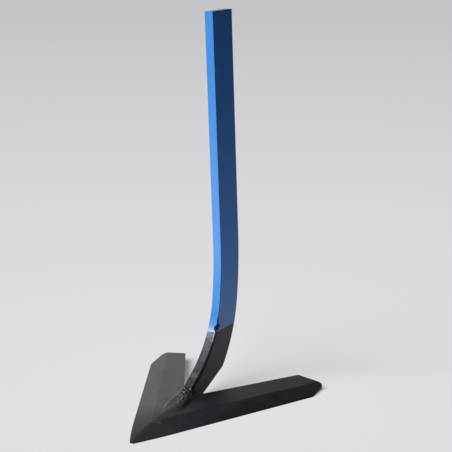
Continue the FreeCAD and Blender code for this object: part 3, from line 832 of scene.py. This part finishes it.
def shank_finish():
    """Blue brushed enamel on rolled flat bar, dipped in black at the foot.

    The eye gets a bright glossy blue with a slight orange peel, painted light paler in its
    middle and painted shade low down and on the edges, a level paint line with a painted
    highlight for its pale lip, a dark chip on one edge, a foot rubbed grey with painted sheen
    and painted shade along its front edges, and a dark sawn end.
    """
    material, tree = start_material("blue_enamel_over_black_dip_on_flat_bar")
    source = add(tree, "ShaderNodeTexCoord").outputs
    place = source["Object"]
    axes = add(tree, "ShaderNodeSeparateXYZ", {0: place}).outputs
    height = axes["Z"]
    face = add(tree, "ShaderNodeSeparateXYZ", {0: source["Normal"]}).outputs
    front = add(tree, "ShaderNodeMapRange", {
        "Value": face["Y"], "From Min": -0.3, "From Max": -0.75}).outputs[0]
    sideways = add(tree, "ShaderNodeMath", {0: face["X"], 1: 0.0}, operation="ABSOLUTE").outputs[0]
    ragged = add(tree, "ShaderNodeTexNoise", {
        "Vector": place, "Scale": per_mm(3.0), "Detail": 3.0}).outputs[0]
    scuff = add(tree, "ShaderNodeTexNoise", {
        "Vector": place, "Scale": per_mm(4.5), "Detail": 4.0}).outputs[0]

    # Height with a wobble of 0 to 1.6 mm added, and the value of that at the dip's edge
    wobble = add(tree, "ShaderNodeTexNoise", {
        "Vector": place, "Scale": per_mm(7), "Detail": 3.0}).outputs[0]
    over = add(tree, "ShaderNodeMath", {0: wobble, 1: 1.6 * MM, 2: height},
               operation="MULTIPLY_ADD").outputs[0]
    line = DIP_Z + 0.8 * MM
    is_blue = add(tree, "ShaderNodeMapRange", {
        "Value": over, "From Min": line - 0.25 * MM, "From Max": line + 0.25 * MM},
        interpolation_type="SMOOTHSTEP").outputs[0]

    # Chip that shows the dark primer, with a nick above it, on the right front edge
    chip = add(tree, "ShaderNodeMath", {
        0: ragged_spot(tree, place, ragged, CHIP_CENTRE, CHIP_REACH),
        1: ragged_spot(tree, place, ragged, NICK_CENTRE, NICK_REACH)},
        operation="MAXIMUM").outputs[0]
    blue = blue_coat(tree, place, height, front)
    blue = blue_highlight_by_the_dip(tree, over, line, front, blue)
    blue = blue_edge_shade_and_chip(tree, sideways, chip, blue)

    # Painted shade along the foot's front edges, then rubbed grey with painted sheen and dust
    edge_shade = foot_edge_shade(tree, axes, sideways, ragged)
    foot = foot_front(tree, place, height, front, scuff, ragged)
    foot = foot_flanks(tree, sideways, scuff, foot)
    foot = add(tree, "ShaderNodeMix", {
        "Factor": edge_shade, COLOUR_A: foot, COLOUR_B: linear(FOOT_EDGE_SHADE)},
        data_type="RGBA").outputs[COLOUR_OUT]
    foot = worn_highlight_streak(tree, place, front, ragged, foot)

    painted = add(tree, "ShaderNodeMix", {
        "Factor": is_blue, COLOUR_A: foot, COLOUR_B: blue},
        data_type="RGBA").outputs[COLOUR_OUT]
    shader = add(tree, "ShaderNodeBsdfPrincipled", {
        "Base Color": sawn_end(tree, place, front, ragged, painted),
        "Roughness": shank_roughness(tree, height, is_blue, scuff, edge_shade, chip),
        "IOR": 1.5,
        "Normal": shank_relief(tree, place, is_blue, chip)})
    end_material(tree, shader)
    return material


def spatter_finish():
    """Black enamel pooled over round drops of weld spatter.

    The eye gets a smooth black bead with a bright, small glint. The only grain is a faint
    one of 0.9 mm.
    """
    material, tree = start_material("pooled_black_enamel_on_spatter")
    place = add(tree, "ShaderNodeTexCoord").outputs["Object"]
    black = black_dip(tree, place)
    bump = add(tree, "ShaderNodeBump", {
        "Height": black["grain"], "Strength": 0.3, "Distance": 0.03 * MM}).outputs[0]
    shader = add(tree, "ShaderNodeBsdfPrincipled", {
        "Base Color": black["colour"], "Roughness": 0.2, "IOR": 1.5, "Normal": bump})
    end_material(tree, shader)
    return material


def weld_finish():
    """Black enamel brushed over rough weld metal.

    The eye gets a lumpy grey-black whose pooled paint glints on the ripples, with a scale of
    1.3 mm. It turns a lighter grey towards its right.
    """
    material, tree = start_material("black_enamel_over_weld_metal")
    place = add(tree, "ShaderNodeTexCoord").outputs["Object"]
    right = add(tree, "ShaderNodeSeparateXYZ", {0: place}).outputs["X"]
    # Lighter grey towards the right, from x = -1.5 mm to x = 4 mm
    dusty = add(tree, "ShaderNodeMapRange", {
        "Value": right, "From Min": -1.5 * MM, "From Max": 4.0 * MM}).outputs[0]
    colour = add(tree, "ShaderNodeMix", {
        "Factor": dusty, COLOUR_A: black_dip(tree, place)["colour"],
        COLOUR_B: linear(WELD_RIGHT_GREY)}, data_type="RGBA").outputs[COLOUR_OUT]
    scale = add(tree, "ShaderNodeTexNoise", {
        "Vector": place, "Scale": per_mm(1.3), "Detail": 5.0}).outputs[0]
    bump = add(tree, "ShaderNodeBump", {
        "Height": scale, "Strength": 0.5, "Distance": 0.16 * MM}).outputs[0]
    shader = add(tree, "ShaderNodeBsdfPrincipled", {
        "Base Color": colour, "Roughness": 0.36, "IOR": 1.5, "Normal": bump})
    end_material(tree, shader)
    return material


# Set


def shows_background(tree):
    """1 for camera, glossy and transmission rays, and 0 for rays that carry diffuse light."""
    rays = add(tree, "ShaderNodeLightPath").outputs
    first = add(tree, "ShaderNodeMath", {0: rays["Is Camera Ray"], 1: rays["Is Glossy Ray"]},
                operation="MAXIMUM")
    both = add(tree, "ShaderNodeMath", {0: first.outputs[0], 1: rays["Is Transmission Ray"]},
               operation="MAXIMUM")
    return both.outputs[0]


def paper_floor():
    """Seamless pale studio paper, matt, that greys a little with distance.

    The light that it throws back up comes from a sheet about a metre across, because the
    far floor would wash out the shaded side of the bar.
    """
    material, tree = start_material("pale_studio_paper")
    place = add(tree, "ShaderNodeTexCoord").outputs["Object"]
    away = add(tree, "ShaderNodeVectorMath", {0: place}, operation="LENGTH").outputs["Value"]
    beyond = add(tree, "ShaderNodeMath", {0: away, 1: PAPER_FADE}, operation="ADD").outputs[0]
    share = add(tree, "ShaderNodeMath", {0: away, 1: beyond}, operation="DIVIDE").outputs[0]
    seen = add(tree, "ShaderNodeMix", {
        "Factor": share, COLOUR_A: linear(PAPER_NEAR), COLOUR_B: linear(PAPER_FAR)},
        data_type="RGBA").outputs[COLOUR_OUT]
    far = add(tree, "ShaderNodeMapRange", {
        "Value": away, "From Min": BOUNCE_ENDS[0], "From Max": BOUNCE_ENDS[1]}).outputs[0]
    bounce = add(tree, "ShaderNodeMix", {
        "Factor": far, COLOUR_A: linear(BOUNCE_NEAR), COLOUR_B: linear(BOUNCE_FAR)},
        data_type="RGBA").outputs[COLOUR_OUT]
    shown = shows_background(tree)
    colour = add(tree, "ShaderNodeMix", {
        "Factor": shown, COLOUR_A: bounce, COLOUR_B: seen},
        data_type="RGBA").outputs[COLOUR_OUT]
    matt = add(tree, "ShaderNodeBsdfDiffuse", {"Color": colour}).outputs[0]
    glow = add(tree, "ShaderNodeEmission", {"Color": seen}).outputs[0]
    aside = add(tree, "ShaderNodeVectorMath", {0: place, 1: WING_SHADE},
                operation="DISTANCE").outputs["Value"]
    lift = add(tree, "ShaderNodeMapRange", {
        "Value": aside, "From Min": WING_SHADE_REACH[0], "From Max": WING_SHADE_REACH[1],
        "To Min": CONTACT_LIFT, "To Max": SHADOW_LIFT},
        interpolation_type="SMOOTHSTEP").outputs[0]
    lift = add(tree, "ShaderNodeMath", {0: shown, 1: lift}, operation="MULTIPLY").outputs[0]
    end_material(tree, add(tree, "ShaderNodeMixShader", {0: lift, 1: matt, 2: glow}))
    return material


def stage_sheet(name, corners, material):
    """Flat, four-cornered piece of the set."""
    mesh = bpy.data.meshes.new(name)
    mesh.from_pydata(corners, [], [(0, 1, 2, 3)])
    mesh.materials.append(material)
    sheet = bpy.data.objects.new(name, mesh)
    bpy.context.scene.collection.objects.link(sheet)
    return sheet


def make_floor(reach=40.0):
    """Square sheet of floor, 80 m across."""
    stage_sheet("floor", [(-reach, -reach, 0), (reach, -reach, 0), (reach, reach, 0),
                          (-reach, reach, 0)], paper_floor())


def make_black_card(left=(0.10, 0.55), right=(0.45, 0.20), bottom=0.002, top=0.5):
    """Black card at the right rear, as photographers set up out of the picture.

    It keeps the pale floor out of the gloss on the bar's right side. Only gloss shows it: no
    camera sees it, and it throws no shadow on the floor in any view.
    """
    material, tree = start_material("black_card")
    end_material(tree, add(tree, "ShaderNodeBsdfDiffuse", {"Color": linear(BLACK_CARD)}))
    card = stage_sheet("black_card", [(*left, bottom), (*right, bottom), (*right, top),
                                      (*left, top)], material)
    card.visible_camera = False
    card.visible_shadow = False
    card.visible_diffuse = False


def make_world():
    """Room round the set: a low pale backdrop, a bright wall at the left rear, a dim ceiling.

    Diffuse rays get a dim, even light instead, so that the key light alone shades the part.
    """
    world = bpy.data.worlds.new("studio")
    world.use_nodes = True
    tree = world.node_tree
    tree.nodes.clear()
    direction = add(tree, "ShaderNodeTexCoord").outputs["Generated"]
    lift = add(tree, "ShaderNodeSeparateXYZ", {0: direction}).outputs["Z"]
    backdrop = add(tree, "ShaderNodeMapRange", {
        "Value": lift, "From Min": BACKDROP_TOP[0], "From Max": BACKDROP_TOP[1]},
        interpolation_type="SMOOTHSTEP").outputs[0]
    nearness = add(tree, "ShaderNodeVectorMath", {0: direction, 1: WALL_WAY},
                   operation="DOT_PRODUCT").outputs["Value"]
    wall = add(tree, "ShaderNodeMapRange", {
        "Value": nearness, "From Min": WALL_NEARNESS[0], "From Max": WALL_NEARNESS[1]},
        interpolation_type="SMOOTHSTEP").outputs[0]
    above = add(tree, "ShaderNodeMapRange", {
        "Value": lift, "From Min": WALL_FOOT[0], "From Max": WALL_FOOT[1]},
        interpolation_type="SMOOTHSTEP").outputs[0]
    wall = add(tree, "ShaderNodeMath", {0: wall, 1: above}, operation="MULTIPLY").outputs[0]
    low = add(tree, "ShaderNodeMix", {
        "Factor": backdrop, COLOUR_A: linear(CEILING), COLOUR_B: linear(BACKDROP)},
        data_type="RGBA").outputs[COLOUR_OUT]
    seen = add(tree, "ShaderNodeMix", {
        "Factor": wall, COLOUR_A: low, COLOUR_B: linear(WALL)},
        data_type="RGBA").outputs[COLOUR_OUT]
    colour = add(tree, "ShaderNodeMix", {
        "Factor": shows_background(tree), COLOUR_A: linear(EVEN_LIGHT), COLOUR_B: seen},
        data_type="RGBA").outputs[COLOUR_OUT]
    background = add(tree, "ShaderNodeBackground", {"Color": colour}).outputs[0]
    add(tree, "ShaderNodeOutputWorld", {"Surface": background})
    bpy.context.scene.world = world


def make_key(azimuth=-18.5, elevation=45.0, spread=50.0, strength=3.9):
    """Broad, even key light from the front left of the blade, spread over many degrees."""
    light = bpy.data.lights.new("softbox", "SUN")
    light.angle = math.radians(spread)
    light.energy = strength
    turn, lift = math.radians(azimuth), math.radians(elevation)
    back = Vector((math.sin(turn) * math.cos(lift), -math.cos(turn) * math.cos(lift),
                   math.sin(lift)))
    lamp = bpy.data.objects.new("softbox", light)
    lamp.location = back
    lamp.rotation_mode = "QUATERNION"
    lamp.rotation_quaternion = (-back).to_track_quat("-Z", "Y")
    bpy.context.scene.collection.objects.link(lamp)


def make_camera():
    """Camera of the photograph: place, direction, roll and focal length."""
    azimuth, elevation, roll = (math.radians(angle) for angle in CAMERA_TURN)
    back = Vector((math.sin(azimuth) * math.cos(elevation),
                   -math.cos(azimuth) * math.cos(elevation), math.sin(elevation)))
    right = Vector((math.cos(azimuth), math.sin(azimuth), 0))
    up = back.cross(right)
    turned_right = right * math.cos(roll) + up * math.sin(roll)
    turned_up = back.cross(turned_right)
    data = bpy.data.cameras.new("camera")
    data.sensor_width = SENSOR_WIDTH
    data.lens = LENS_LENGTH
    camera = bpy.data.objects.new("camera", data)
    camera.matrix_world = Matrix.Translation(CAMERA_PLACE) @ Matrix(
        (turned_right, turned_up, back)).transposed().to_4x4()
    bpy.context.scene.collection.objects.link(camera)
    bpy.context.scene.camera = camera


# The part


blade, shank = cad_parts["blade"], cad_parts["shank"]
blade.data.materials.clear()
blade.data.materials.append(satin_black_enamel())
shank.data.materials.clear()
shank.data.materials.append(shank_finish())

weld = shell_mesh("weld_run", weld_rings(), weld_finish())
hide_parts("weld_bead")
spatter_drops(spatter_finish())

make_floor()
make_world()
make_black_card()
make_key()
make_camera()
bpy.context.scene.view_settings.view_transform = "Standard"
